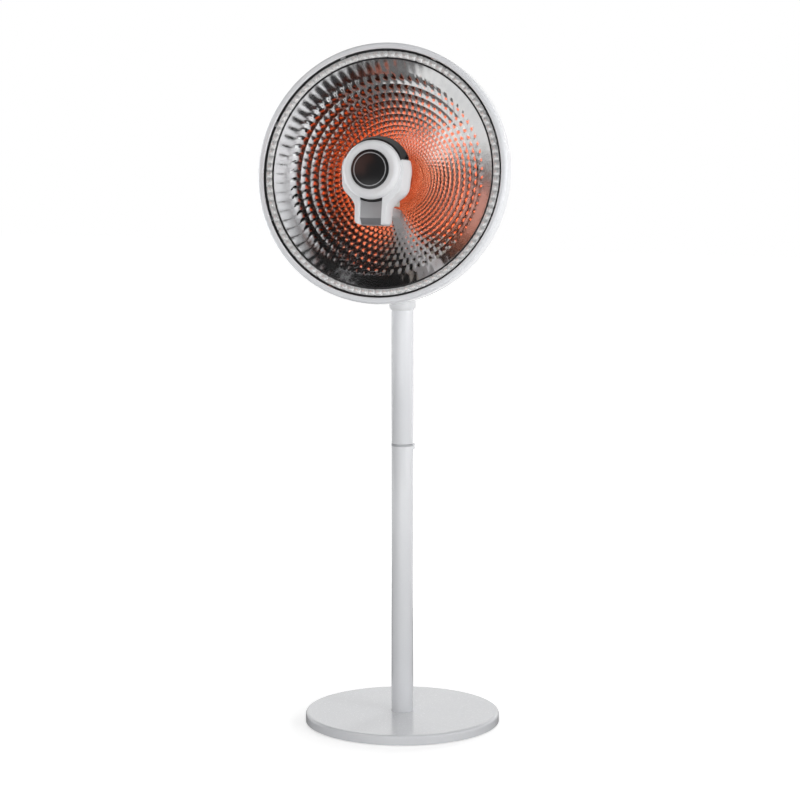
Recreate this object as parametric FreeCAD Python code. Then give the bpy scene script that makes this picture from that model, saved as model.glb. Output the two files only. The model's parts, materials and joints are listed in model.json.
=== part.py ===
import FreeCAD, Part
import math
import os

# Dish heater on a telescopic column, in millimetres. +Z is up and the dish faces -Y.
# The origin lies on the floor, on the axis of the column.

# Fits
running_clearance = 0.05
slide_clearance = 0.08
seat_clearance = 0.1
flat_gap = 0.1
moving_gap = 0.4

# Base
base_radius = 142.0
base_wall = 2.0
base_edge_radius = 4.0
cover_lift = 1.0
foot_height = 3.0
foot_width = 9.0
foot_inset = 4.0
weight_thickness = 6.0
weight_gap = 1.0
flange_radius = 42.0
flange_thickness = 4.0
stub_length = 35.0
flange_screw_radius = 2.4
flange_screw_circle = 30.0
flange_screw_count = 4
first_screw_angle = 45.0
flange_head_radius = 4.6
flange_head_height = 2.6

# Column
tube_radius = 16.0
tube_wall = 1.5
lower_tube_length = 397.0
bush_flange = 3.0
bush_length = 40.0
slide_tube_radius = 13.0
slide_tube_wall = 1.5
slide_tube_insert = 250.0
slide_tube_rise = 60.0
glide_length = 25.0
glide_stub = 15.0
sleeve_length = 237.0

# Clamp at the back of the column
clamp_drop = 9.5
clamp_screw_radius = 3.0
clamp_boss_radius = 6.0
clamp_boss_reach = 6.0
clamp_knob_radius = 8.0
clamp_knob_length = 16.0
clamp_flute_count = 8
clamp_flute_radius = 1.5

# Collar and fork at the top of the column
collar_radius = 19.25
collar_overlap = 42.0
collar_chamfer = 4.5
collar_screw_radius = 2.0
collar_screw_count = 2
collar_screw_rise = 18.0
pivot_rise = 50.0
cheek_thickness = 7.0
cheek_half_width = 13.0
tongue_half_thickness = 10.0
tongue_radius = 12.5
friction_washer = 1.0
friction_washer_radius = 11.5
tilt_bolt_radius = 3.0
bolt_head_radius = 5.8
bolt_head_height = 4.0
tilt_knob_radius = 15.0
tilt_knob_length = 18.0
tilt_hub_radius = 6.5
tilt_lobe_count = 5
tilt_lobe_cut = 6.0
rest_tilt = 10.0

# Carrier, swivel bearing and motor
flange_rise = 16.0
carrier_flange_radius = 18.0
carrier_flange = 4.0
post_radius = 10.0
post_above_boss = 2.0
thrust_washer = 1.0
boss_radius = 15.0
boss_drop = 9.0
boss_height = 17.0
clip_thickness = 1.2
clip_width = 3.0
clip_groove = 1.0
motor_radius = 20.0
motor_height = 16.0
motor_gap = 2.0
motor_rise = 4.0
shaft_radius = 2.5
shaft_grip = 8.0
shaft_in_motor = 9.0
bracket_sheet = 2.0
bracket_half_width = 22.0
bracket_leg = 30.0
bracket_screw_spread = 15.0
bracket_screw_drop = 5.0

# Dish. R is the distance from the dish axis, Y the depth behind the plane of the rim's front
rim_radius = 183.0
rim_wall = 2.0
rim_depth = 22.0
rim_round = 4.0
lip_width = 8.5
lip_thickness = 2.5
lip_bevel = 1.2
reflector_inset = 3.0
reflector_edge = 5.0
reflector_depth = 90.0
reflector_sheet = 0.8
reflector_seat = 15.0
bead_width = 8.0
bead_inset = 3.5
bead_rise = 2.0
groove_width = 2.0
groove_depth = 8.0
clip_count = 8
rim_clip_width = 8.0
rim_clip_sheet = 1.2
ledge_width = 3.0
shell_sheet = 1.2
shell_edge = 14.0
hub_seat_margin = 4.0
hub_plate_margin = 2.0
hub_plate_sheet = 2.0
vent_count = 24
vent_inset = 47.0
vent_length = 36.0
vent_width = 4.0
pole_screw_radius = 2.0
pole_head_radius = 4.0
pole_head_height = 2.2
nut_height = 3.2

# Rear housing and what it holds
housing_radius = 62.0
housing_wall = 2.5
housing_length = 58.0
screw_post_radius = 4.0
screw_post_sink = 1.0
screw_radius = 1.5
screw_head_radius = 3.0
screw_head_height = 1.8
screw_grip = 9.0
post_count = 4
cover_thickness = 2.5
cover_edge = 1.2
housing_slot_count = 9
housing_slot_width = 3.0
housing_slot_margin = 14.5
housing_slot_pitch = 14.0
switch_spread = 24.0
switch_rise = 12.0
selector_body = 24.0
selector_depth = 18.0
selector_bush_radius = 4.5
selector_bush_reach = 4.0
selector_nut_radius = 7.5
selector_nut_height = 2.0
selector_shaft_radius = 3.0
selector_knob_radius = 16.0
selector_knob_height = 15.0
selector_grip_width = 7.0
selector_grip_depth = 7.0
rocker_radius = 8.0
rocker_half_width = 5.0
rocker_set = 10.0
rocker_pin_radius = 1.5
frame_lip = 2.5
frame_flange = 1.6
frame_depth = 15.0
terminal_width = 36.0
terminal_height = 12.0
terminal_hole_radius = 3.0
terminal_depth = 14.0
terminal_rise = 28.0
terminal_poles = 3
cutout_radius = 8.0
cutout_tab_sheet = 2.0
cutout_depth = 8.0
cutout_spread = 32.0
tip_switch_width = 16.0
tip_switch_depth = 12.0
tip_switch_height = 24.0
tip_switch_inset = 32.0
gland_inset = 22.0
gland_radius = 9.0
gland_reach = 14.0
gland_bore = 4.0
gland_thread_radius = 6.5
gland_thread_length = 8.0

# Hood, arm and lamp. Hood and arm heights count forwards from the rim's front, lamp_depth backwards
hood_front = 47.0
hood_plate = 35.0
hood_back = 15.1
hood_wall = 2.0
hood_rise = 5.0
hood_flare = 3.5
neck_half_width = 22.3
neck_back_half_width = 23.3
neck_overhang = 25.0
neck_corner = 6.0
neck_blend = 22.0
rail_width = 6.0
neck_recess = 5.0
neck_slope = 9.0
vent_half_angle = 70.0
ring_inset = 4.0
ring_wall = 3.0
ring_round = 7.0
badge_share = 0.67
badge_thickness = 2.0
badge_recess = 1.6
cup_inset = 2.5
cup_sheet = 1.2
cup_flange_inset = 0.5
arm_half_width = 6.0
arm_height = 12.0
arm_inset = 12.0
arm_wall = 1.2
arm_foot = 3.0
arm_foot_half_width = 13.0
arm_front = 24.0
arm_hole_radius = 3.5
arm_screw_spread = 9.5
plug_length = 14.0
lamp_depth = 26.0
lamp_rise = 23.0
lamp_leg_spread = 9.5
lamp_blend = 8.0
lamp_tube_radius = 6.0
lamp_tube_wall = 1.0
element_radius = 2.4
leg_depth = 6.0
lamp_cap_wall = 1.9
lamp_cap_height = 4.0
holder_half_width = 19.0
holder_height = 8.0
holder_depth = 22.0

# Heights of the column
weight_top = foot_height + weight_thickness
tube_foot = weight_top + flange_thickness
base_height = tube_foot + base_wall
tube_top = tube_foot + lower_tube_length
seam_height = tube_top + bush_flange
sleeve_foot = seam_height + moving_gap
sleeve_top = sleeve_foot + sleeve_length
collar_foot = sleeve_top - collar_overlap
pivot_height = sleeve_top + pivot_rise
clamp_height = seam_height - clamp_drop
tube_bore = tube_radius - tube_wall
slide_tube_bore = slide_tube_radius - slide_tube_wall
slide_tube_foot = seam_height - slide_tube_insert
cheek_inner = tongue_half_thickness + friction_washer + 2 * flat_gap
cheek_outer = cheek_inner + cheek_thickness
fork_floor = pivot_height - cheek_half_width - moving_gap
tilt_grip_seat = max(cheek_outer, collar_radius) + 2 * moving_gap
tilt_knob_end = tilt_grip_seat + tilt_knob_length
bolt_end = tilt_grip_seat + tilt_knob_length / 2

# Radii of the dish and what follows the housing
lip_inner_radius = rim_radius - lip_width
bead_outer_radius = lip_inner_radius - bead_inset
bead_inner_radius = bead_outer_radius - bead_width
reflector_radius = bead_inner_radius - reflector_inset
vent_outer_radius = rim_radius - vent_inset
vent_inner_radius = vent_outer_radius - vent_length
hub_seat_radius = housing_radius + hub_seat_margin
hub_plate_radius = housing_radius + hub_plate_margin
gland_drop = housing_radius - gland_inset
arm_drop = housing_radius - arm_inset
neck_drop = arm_drop + neck_overhang
hood_front_radius = arm_drop - hood_rise
hood_back_radius = hood_front_radius + hood_flare
ring_radius = hood_front_radius - ring_inset
badge_radius = ring_radius * badge_share
cup_radius = hood_front_radius - cup_inset
cup_flange_radius = hood_back_radius - cup_flange_inset
tip_switch_spread = housing_radius - tip_switch_inset
lamp_ring_radius = arm_drop - lamp_rise
lamp_cap_radius = lamp_tube_radius + lamp_cap_wall

# Depths behind the rim
hub_plate_front = reflector_depth + reflector_sheet
hub_front = hub_plate_front + hub_plate_sheet
hub_back = hub_front + shell_sheet
housing_back = hub_back + housing_length
cover_back = housing_back + cover_thickness
shell_radius = rim_radius - rim_wall - seat_clearance
shell_bore = shell_radius - shell_sheet
flange_outer_radius = shell_bore - seat_clearance
groove_outer_radius = bead_outer_radius + groove_width
ledge_front = groove_depth + reflector_sheet
post_circle = housing_radius - housing_wall - screw_post_radius + screw_post_sink

# The tilt pivot in the dish's own frame, and the rim's centre in the part's frame
pivot_back = hub_back + bracket_sheet + motor_gap + motor_radius
boss_foot = -housing_radius - boss_drop
carrier_top = boss_foot - thrust_washer
pivot_drop = -carrier_top + carrier_flange + flange_rise
boss_top = boss_foot + boss_height
post_top = boss_top + clip_thickness + flat_gap + post_above_boss
bracket_foot = post_top + motor_rise
motor_foot = bracket_foot + bracket_sheet

origin = FreeCAD.Vector(0, 0, 0)
x_axis = FreeCAD.Vector(1, 0, 0)
y_axis = FreeCAD.Vector(0, 1, 0)
z_axis = FreeCAD.Vector(0, 0, 1)
full_turn = 360.0
hex_sides = 6


def point(x, y, z=0.0):
    return FreeCAD.Vector(x, y, z)


def rod(radius, start, end):
    along = end - start
    return Part.makeCylinder(radius, along.Length, start, along)


def pipe(outer, inner, start, end):
    return rod(outer, start, end).cut(rod(inner, start, end))


def block(x_range, y_range, z_range):
    corner = point(x_range[0], y_range[0], z_range[0])
    size = [high - low for low, high in (x_range, y_range, z_range)]
    return Part.makeBox(size[0], size[1], size[2], corner)


def line(start, end):
    return Part.LineSegment(start, end).toShape()


def arc(start, middle, end):
    return Part.Arc(start, middle, end).toShape()


def chain(points):
    return [line(a, b) for a, b in zip(points, points[1:])]


def spun(edges, axis):
    return Part.Face(Part.Wire(edges)).revolve(origin, axis, full_turn)


def prism(points, along):
    return Part.Face(Part.Wire(chain(points + points[:1]))).extrude(along)


def hexagon(radius, start, along):
    side_axis = z_axis if abs(along.dot(z_axis)) < along.Length / 2 else x_axis
    across = along.cross(side_axis).normalize()
    corners = []
    for index in range(hex_sides):
        turn = FreeCAD.Rotation(along, index * full_turn / hex_sides)
        corners.append(start + turn.multVec(across * radius))
    return prism(corners, along)


def around(shape, count, axis, first=0.0):
    copies = []
    for index in range(count):
        copy = shape.copy()
        copy.rotate(origin, axis, first + index * full_turn / count)
        copies.append(copy)
    return copies


def quarter(centre, radius, first_dir, last_dir):
    middle = (first_dir + last_dir).normalize()
    return arc(centre + first_dir * radius, centre + middle * radius, centre + last_dir * radius)


def parabola(start, end, start_slope):
    half_way = (start.x + end.x) / 2
    control = point(half_way, start.y + start_slope * (half_way - start.x))
    curve = Part.BezierCurve()
    curve.setPoles([start, control, end])
    return curve.toShape()


def tilted(vector):
    return FreeCAD.Rotation(x_axis, -rest_tilt).multVec(vector)


rim_centre = point(0, 0, pivot_height) - tilted(point(0, pivot_back, -pivot_drop))


def in_head(shape):
    placed = shape.copy()
    placed.rotate(origin, x_axis, -rest_tilt)
    placed.translate(rim_centre)
    return placed


# Base

def base_cover():
    hole = tube_radius + seat_clearance
    side = base_radius - base_wall
    ceiling = base_height - base_wall
    outer_centre = point(base_radius - base_edge_radius, 0, base_height - base_edge_radius)
    inner_round = base_edge_radius - base_wall
    edges = chain([point(hole, 0, ceiling), point(hole, 0, base_height),
                   point(outer_centre.x, 0, base_height)])
    edges.append(quarter(outer_centre, base_edge_radius, z_axis, x_axis))
    edges += chain([point(base_radius, 0, outer_centre.z), point(base_radius, 0, cover_lift),
                    point(side, 0, cover_lift), point(side, 0, outer_centre.z)])
    edges.append(quarter(outer_centre, inner_round, x_axis, z_axis))
    edges.append(line(point(outer_centre.x, 0, ceiling), point(hole, 0, ceiling)))
    return spun(edges, z_axis)


def flange_screw_points(height):
    places = []
    for index in range(flange_screw_count):
        angle = math.radians(first_screw_angle + index * full_turn / flange_screw_count)
        places.append(point(flange_screw_circle * math.cos(angle),
                            flange_screw_circle * math.sin(angle), height))
    return places


def base_weight():
    disc = rod(base_radius - base_wall - weight_gap, point(0, 0, foot_height), point(0, 0, weight_top))
    for place in flange_screw_points(foot_height):
        disc = disc.cut(rod(flange_screw_radius + flat_gap, place, place + z_axis * weight_thickness))
        disc = disc.cut(rod(flange_head_radius + flat_gap, place, place + z_axis * flange_head_height))
    return disc


def foot_ring():
    outer = base_radius - base_wall - weight_gap - foot_inset
    return pipe(outer, outer - foot_width, origin, point(0, 0, foot_height))


def tube_flange():
    disc = rod(flange_radius, point(0, 0, weight_top), point(0, 0, tube_foot))
    stub = rod(tube_bore - seat_clearance, point(0, 0, weight_top), point(0, 0, tube_foot + stub_length))
    flange = disc.fuse(stub).removeSplitter()
    for place in flange_screw_points(weight_top):
        flange = flange.cut(rod(flange_screw_radius + flat_gap, place, place + z_axis * flange_thickness))
    return flange


def flange_screws():
    screws = []
    for place in flange_screw_points(foot_height):
        head_top = place + z_axis * flange_head_height
        head = rod(flange_head_radius, place, head_top)
        shank = rod(flange_screw_radius, head_top, point(place.x, place.y, tube_foot))
        screws.append(head.fuse(shank))
    return Part.makeCompound(screws)


# Column

def clamp_hole(radius):
    return rod(radius, point(0, 0, clamp_height), point(0, tube_radius + clamp_boss_reach, clamp_height))


def lower_tube():
    tube = pipe(tube_radius, tube_bore, point(0, 0, tube_foot), point(0, 0, tube_top))
    return tube.cut(clamp_hole(clamp_screw_radius + moving_gap))


def tube_bush():
    bore = slide_tube_radius + slide_clearance
    body = pipe(tube_bore - seat_clearance, bore, point(0, 0, tube_top - bush_length),
                point(0, 0, seam_height))
    rim = pipe(tube_radius, bore, point(0, 0, tube_top), point(0, 0, seam_height))
    return body.fuse(rim).removeSplitter().cut(clamp_hole(clamp_screw_radius + moving_gap))


def clamp_boss():
    boss = clamp_hole(clamp_boss_radius)
    tube = rod(tube_radius + seat_clearance, origin, point(0, 0, sleeve_foot))
    return boss.cut(tube).cut(clamp_hole(clamp_screw_radius + running_clearance))


clamp_knob_front = tube_radius + clamp_boss_reach + moving_gap


def clamp_screw():
    tip = point(0, slide_tube_radius + moving_gap, clamp_height)
    return rod(clamp_screw_radius, tip, point(0, clamp_knob_front + clamp_knob_length / 2, clamp_height))


def clamp_knob():
    front = point(0, clamp_knob_front, 0)
    back = front + y_axis * clamp_knob_length
    knob = rod(clamp_knob_radius, front, back)
    rims = [edge for edge in knob.Edges if isinstance(edge.Curve, Part.Circle)]
    knob = knob.makeFillet(clamp_flute_radius, rims)
    flute = rod(clamp_flute_radius, front + x_axis * clamp_knob_radius, back + x_axis * clamp_knob_radius)
    for cut in around(flute, clamp_flute_count, y_axis):
        knob = knob.cut(cut)
    knob.translate(z_axis * clamp_height)
    return knob.cut(clamp_screw())


def slide_tube():
    return pipe(slide_tube_radius, slide_tube_bore, point(0, 0, slide_tube_foot),
                point(0, 0, seam_height + slide_tube_rise))


def tube_glide():
    foot = point(0, 0, slide_tube_foot - glide_length)
    seat = point(0, 0, slide_tube_foot)
    body = rod(tube_bore - slide_clearance, foot, seat)
    return body.fuse(rod(slide_tube_bore - seat_clearance, foot,
                         seat + z_axis * glide_stub)).removeSplitter()


def sleeve_spacer():
    return pipe(tube_bore - seat_clearance, slide_tube_radius + seat_clearance,
                point(0, 0, sleeve_foot), point(0, 0, seam_height + slide_tube_rise))


def upper_sleeve():
    return pipe(tube_radius, tube_bore, point(0, 0, sleeve_foot), point(0, 0, sleeve_top))


# Collar, fork and tilt

def collar_screw_line(start, reach):
    height = collar_foot + collar_screw_rise
    return point(start, 0, height), point(reach, 0, height)


def neck_collar():
    edges = chain([point(0, 0, collar_foot), point(collar_radius - collar_chamfer / 2, 0, collar_foot),
                   point(collar_radius, 0, collar_foot + collar_chamfer),
                   point(collar_radius, 0, fork_floor),
                   point(0, 0, fork_floor), point(0, 0, collar_foot)])
    collar = spun(edges, z_axis)
    pivot = point(0, 0, pivot_height)
    foot = fork_floor - cheek_thickness
    for side in (-1, 1):
        low, high = sorted((side * cheek_inner, side * cheek_outer))
        outline = chain([point(low, -cheek_half_width, pivot_height), point(low, -cheek_half_width, foot),
                         point(low, cheek_half_width, foot), point(low, cheek_half_width, pivot_height)])
        outline.append(arc(point(low, cheek_half_width, pivot_height),
                           point(low, 0, pivot_height + cheek_half_width),
                           point(low, -cheek_half_width, pivot_height)))
        collar = collar.fuse(Part.Face(Part.Wire(outline)).extrude(x_axis * (high - low)))
    bore = rod(tube_radius + seat_clearance, point(0, 0, collar_foot), point(0, 0, sleeve_top + flat_gap))
    bolt = rod(tilt_bolt_radius + running_clearance, pivot - x_axis * collar_radius,
               pivot + x_axis * collar_radius)
    collar = collar.cut(bore).cut(bolt)
    hole = rod(collar_screw_radius + flat_gap, *collar_screw_line(0, collar_radius))
    for cut in around(hole, collar_screw_count, z_axis):
        collar = collar.cut(cut)
    return collar


def collar_screws():
    ends = collar_screw_line(tube_radius + seat_clearance, collar_radius - flat_gap)
    return Part.makeCompound(around(rod(collar_screw_radius, *ends), collar_screw_count, z_axis))


def tilt_bolt():
    pivot = point(0, 0, pivot_height)
    head_seat = pivot - x_axis * cheek_outer
    end = pivot + x_axis * bolt_end
    head = hexagon(bolt_head_radius, head_seat, x_axis * -bolt_head_height)
    return head.fuse(rod(tilt_bolt_radius, head_seat, end))


def friction_washers():
    inner = point(tongue_half_thickness + flat_gap, 0, 0)
    washer = pipe(friction_washer_radius, tilt_bolt_radius + running_clearance, inner,
                  inner + x_axis * friction_washer)
    pair = around(washer, 2, z_axis)
    for one in pair:
        one.translate(z_axis * pivot_height)
    return Part.makeCompound(pair)


def tilt_knob():
    seat = point(tilt_grip_seat, 0, 0)
    end = point(tilt_knob_end, 0, 0)
    knob = rod(tilt_knob_radius, seat, end)
    cut_centre = z_axis * (tilt_knob_radius + tilt_lobe_cut / 2)
    for cut in around(rod(tilt_lobe_cut, seat + cut_centre, end + cut_centre), tilt_lobe_count, x_axis):
        knob = knob.cut(cut)
    knob = knob.fuse(rod(tilt_hub_radius, point(cheek_outer + moving_gap, 0, 0), end)).removeSplitter()
    bore_end = point(bolt_end + moving_gap, 0, 0)
    knob = knob.cut(rod(tilt_bolt_radius + running_clearance, origin, bore_end))
    knob.translate(z_axis * pivot_height)
    return knob


# Carrier and swivel, in the dish's frame

def swivel_point(height):
    return point(0, pivot_back, height)


def swivel_carrier():
    pivot = swivel_point(-pivot_drop)
    flange_foot = carrier_top - carrier_flange
    side = x_axis * tongue_half_thickness
    tongue = rod(tongue_radius, pivot - side, pivot + side)
    depth = (pivot_back - tongue_radius, pivot_back + tongue_radius)
    stem = block((-tongue_half_thickness, tongue_half_thickness), depth, (-pivot_drop, flange_foot))
    flange = rod(carrier_flange_radius, swivel_point(flange_foot), swivel_point(carrier_top))
    post = rod(post_radius, swivel_point(flange_foot), swivel_point(post_top))
    carrier = tongue.fuse(stem).fuse(flange).fuse(post).removeSplitter()
    bolt = rod(tilt_bolt_radius + running_clearance, pivot - side, pivot + side)
    socket = rod(shaft_radius, swivel_point(post_top - shaft_grip), swivel_point(post_top))
    groove_foot = boss_top + flat_gap
    groove = pipe(post_radius, post_radius - clip_groove, swivel_point(groove_foot),
                  swivel_point(groove_foot + clip_thickness))
    return carrier.cut(bolt).cut(socket).cut(groove)


def post_clip():
    foot = boss_top + flat_gap
    return pipe(post_radius - clip_groove + clip_width, post_radius - clip_groove,
                swivel_point(foot), swivel_point(foot + clip_thickness))


def thrust_ring():
    return pipe(boss_radius, post_radius + running_clearance, swivel_point(carrier_top),
                swivel_point(boss_foot))


def motor_shaft():
    return rod(shaft_radius, swivel_point(post_top - shaft_grip),
               swivel_point(motor_foot + shaft_in_motor))


def swivel_motor():
    can = rod(motor_radius, swivel_point(motor_foot), swivel_point(motor_foot + motor_height))
    bore = rod(shaft_radius + running_clearance, swivel_point(motor_foot),
               swivel_point(motor_foot + shaft_in_motor + moving_gap))
    return can.cut(bore)


def bracket_screw_points():
    height = bracket_foot + bracket_leg - bracket_screw_drop
    return [point(side * bracket_screw_spread, hub_back + bracket_sheet, height) for side in (-1, 1)]


def motor_bracket():
    half = (-bracket_half_width, bracket_half_width)
    shelf = block(half, (hub_back, pivot_back + motor_radius), (bracket_foot, motor_foot))
    leg = block(half, (hub_back, hub_back + bracket_sheet), (bracket_foot, bracket_foot + bracket_leg))
    bracket = shelf.fuse(leg).removeSplitter()
    bracket = bracket.cut(rod(post_radius, swivel_point(bracket_foot), swivel_point(motor_foot)))
    for place in bracket_screw_points():
        bracket = bracket.cut(rod(screw_radius + flat_gap, place - y_axis * bracket_sheet, place))
    return bracket


def screw_along_y(seat, grip, toward):
    head = rod(screw_head_radius, seat, seat - y_axis * toward * screw_head_height)
    return head.fuse(rod(screw_radius, seat, seat + y_axis * toward * grip))


def bracket_screws():
    grip = bracket_sheet + hub_back - hub_plate_front
    return Part.makeCompound([screw_along_y(place, grip, -1) for place in bracket_screw_points()])


# Dish

def rim_bezel():
    inside = rim_radius - rim_wall
    corner = point(rim_radius - rim_round, rim_round)
    edges = chain([point(lip_inner_radius, lip_thickness), point(lip_inner_radius, lip_bevel),
                   point(lip_inner_radius + lip_bevel, 0), point(corner.x, 0)])
    edges.append(quarter(corner, rim_round, y_axis * -1, x_axis))
    edges += chain([point(rim_radius, rim_round), point(rim_radius, rim_depth), point(inside, rim_depth),
                    point(inside, lip_thickness), point(lip_inner_radius, lip_thickness)])
    return spun(edges, y_axis)


def reflector_profile(back):
    seat = point(reflector_seat, reflector_depth + back)
    edge = point(reflector_radius, reflector_edge + back)
    drop = (reflector_edge - reflector_depth) / (reflector_radius ** 2 - reflector_seat ** 2)
    bead_middle = (bead_inner_radius + bead_outer_radius) / 2
    bead_start = point(bead_inner_radius, reflector_edge + back)
    bead_end = point(bead_outer_radius, reflector_edge + back)
    return [line(point(pole_screw_radius + flat_gap, seat.y), seat),
            parabola(seat, edge, 2 * drop * reflector_seat),
            line(edge, bead_start),
            arc(bead_start, point(bead_middle, reflector_edge - bead_rise + back), bead_end),
            line(bead_end, point(groove_outer_radius, groove_depth + back)),
            line(point(groove_outer_radius, groove_depth + back),
                 point(flange_outer_radius, groove_depth + back))]


def arm_space(gap, y_range):
    half = arm_half_width + gap
    rise = arm_height / 2 + gap
    return block((-half, half), y_range, (-arm_drop - rise, -arm_drop + rise))


def reflector():
    front = reflector_profile(0)
    behind = reflector_profile(reflector_sheet)
    ends = [line(front[0].Vertexes[0].Point, behind[0].Vertexes[0].Point),
            line(front[-1].Vertexes[1].Point, behind[-1].Vertexes[1].Point)]
    bowl = spun(Part.__sortEdges__(front + behind + ends), y_axis)
    return bowl.cut(arm_space(moving_gap, (0, hub_plate_front)))


def shell_curve(radius):
    share = (shell_radius ** 2 - radius ** 2) / (shell_radius ** 2 - hub_seat_radius ** 2)
    return shell_edge + (hub_front - shell_edge) * share


def housing_post_points(depth):
    places = []
    for index in range(post_count):
        angle = math.radians(first_screw_angle + index * full_turn / post_count)
        places.append(point(post_circle * math.cos(angle), depth, post_circle * math.sin(angle)))
    return places


def arm_screw_points(depth):
    return [point(side * arm_screw_spread, depth, -arm_drop) for side in (-1, 1)]


def hub_holes(y_range):
    start, end = y_range
    holes = [rod(arm_hole_radius, point(0, start, -arm_drop), point(0, end, -arm_drop))]
    for place in housing_post_points(start) + arm_screw_points(start):
        holes.append(rod(screw_radius + flat_gap, place, place + y_axis * (end - start)))
    for place in bracket_screw_points():
        holes.append(rod(screw_radius + flat_gap, point(place.x, start, place.z),
                         point(place.x, end, place.z)))
    return holes


def back_shell():
    slope = -2 * (hub_front - shell_edge) / (shell_radius ** 2 - hub_seat_radius ** 2)
    front = lip_thickness + flat_gap
    outer_edge = point(shell_radius, shell_edge + shell_sheet)
    outer_hub = point(hub_seat_radius, hub_back)
    inner_hub = point(hub_seat_radius, hub_front)
    inner_edge = point(shell_bore, shell_curve(shell_bore))
    edges = chain([point(shell_bore, front), point(shell_radius, front), outer_edge])
    edges.append(parabola(outer_edge, outer_hub, slope * shell_radius))
    edges += chain([outer_hub, point(pole_screw_radius + flat_gap, hub_back),
                    point(pole_screw_radius + flat_gap, hub_front), inner_hub])
    edges.append(parabola(inner_hub, inner_edge, slope * hub_seat_radius))
    edges.append(line(inner_edge, point(shell_bore, front)))
    shell = spun(edges, y_axis)
    ledge = pipe(shell_bore + shell_sheet / 2, shell_bore - ledge_width, point(0, ledge_front, 0),
                 point(0, ledge_front + shell_sheet, 0))
    shell = shell.fuse(ledge).removeSplitter()
    slot = block((vent_inner_radius, vent_outer_radius), (0, hub_back), (-vent_width / 2, vent_width / 2))
    for cut in around(slot, vent_count, y_axis, full_turn / vent_count / 2):
        shell = shell.cut(cut)
    for hole in hub_holes((hub_front, hub_back)):
        shell = shell.cut(hole)
    return shell


def hub_plate():
    plate = pipe(hub_plate_radius, pole_screw_radius + flat_gap, point(0, hub_plate_front, 0),
                 point(0, hub_front, 0))
    for hole in hub_holes((hub_plate_front, hub_front)):
        plate = plate.cut(hole)
    return plate


def rim_clips():
    half = rim_clip_width / 2
    foot = block((groove_outer_radius, flange_outer_radius),
                 (groove_depth - rim_clip_sheet, groove_depth), (-half, half))
    tab = block((flange_outer_radius - 2 * rim_clip_sheet, flange_outer_radius - rim_clip_sheet),
                (lip_thickness, groove_depth), (-half, half))
    clip = foot.fuse(tab).removeSplitter()
    return Part.makeCompound(around(clip, clip_count, y_axis, full_turn / clip_count / 2))


def pole_screw():
    seat = point(0, reflector_depth, 0)
    head = rod(pole_head_radius, seat - y_axis * pole_head_height, seat)
    return head.fuse(rod(pole_screw_radius, seat, point(0, hub_back + nut_height, 0)))


def pole_nut():
    nut = hexagon(pole_head_radius, point(0, hub_back, 0), y_axis * nut_height)
    return nut.cut(rod(pole_screw_radius, origin, point(0, hub_back + nut_height, 0)))


# Rear housing

def rear_housing():
    housing = pipe(housing_radius, housing_radius - housing_wall, point(0, hub_back, 0),
                   point(0, housing_back, 0))
    inside = rod(housing_radius - housing_wall / 2, point(0, hub_back, 0), point(0, housing_back, 0))
    for place in housing_post_points(hub_back):
        housing = housing.fuse(rod(screw_post_radius, place,
                                   place + y_axis * housing_length).common(inside))
    boss = rod(boss_radius, swivel_point(boss_foot), swivel_point(boss_top))
    housing = housing.fuse(boss).removeSplitter()
    housing = housing.cut(rod(post_radius + running_clearance, swivel_point(boss_foot),
                              swivel_point(boss_top)))
    for place in housing_post_points(hub_back):
        front_hole = rod(screw_radius, place, place + y_axis * screw_grip)
        back_end = place + y_axis * housing_length
        housing = housing.cut(front_hole).cut(rod(screw_radius, back_end - y_axis * screw_grip, back_end))
    first = -(housing_slot_count - 1) / 2
    slot = block((-housing_slot_width / 2, housing_slot_width / 2),
                 (hub_back + housing_slot_margin, housing_back - housing_slot_margin),
                 (0, 2 * housing_radius))
    pitch = math.degrees(housing_slot_pitch / housing_radius) / 2
    for index in range(housing_slot_count):
        cut = slot.copy()
        cut.rotate(origin, y_axis, (first + index) * pitch)
        housing = housing.cut(cut)
    return housing


def housing_screws():
    grip = screw_grip + hub_back - hub_plate_front
    return Part.makeCompound([screw_along_y(place, grip,
                                            1) for place in housing_post_points(hub_plate_front)])


def selector_point(depth):
    return point(-switch_spread, depth, switch_rise)


def rocker_point(depth):
    return point(switch_spread, depth, switch_rise)


def gland_point(depth):
    return point(0, depth, -gland_drop)


frame_half_width = rocker_half_width + moving_gap + frame_lip
frame_half_height = rocker_radius + moving_gap + frame_lip


def rear_cover():
    start = point(0, housing_back, 0)
    end = point(0, cover_back, 0)
    cover = rod(housing_radius, start, end)
    edge = [e for e in cover.Edges if isinstance(e.Curve,
                                                 Part.Circle) and e.Curve.Center.y > housing_back]
    cover = cover.makeFillet(cover_edge, edge)
    for place in housing_post_points(housing_back):
        cover = cover.cut(rod(screw_radius + flat_gap, place, place + y_axis * cover_thickness))
    cover = cover.cut(rod(selector_bush_radius + flat_gap, selector_point(housing_back),
                          selector_point(cover_back)))
    cover = cover.cut(rod(gland_thread_radius + flat_gap, gland_point(housing_back),
                          gland_point(cover_back)))
    centre = rocker_point(0)
    wide = frame_half_width - frame_lip / 2
    tall = frame_half_height - frame_lip / 2
    window = block((centre.x - wide, centre.x + wide), (housing_back, cover_back),
                   (centre.z - tall, centre.z + tall))
    return cover.cut(window)


def cover_screws():
    grip = screw_grip + cover_thickness
    return Part.makeCompound([screw_along_y(place, grip,
                                            -1) for place in housing_post_points(cover_back)])


def selector_switch():
    half = selector_body / 2
    centre = selector_point(0)
    body = block((centre.x - half, centre.x + half), (housing_back - selector_depth, housing_back),
                 (centre.z - half, centre.z + half))
    bush_end = selector_point(cover_back + selector_bush_reach)
    body = body.fuse(rod(selector_bush_radius, selector_point(housing_back), bush_end))
    return body.cut(rod(selector_shaft_radius + running_clearance, selector_point(selector_shaft_start),
                        bush_end))


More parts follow.
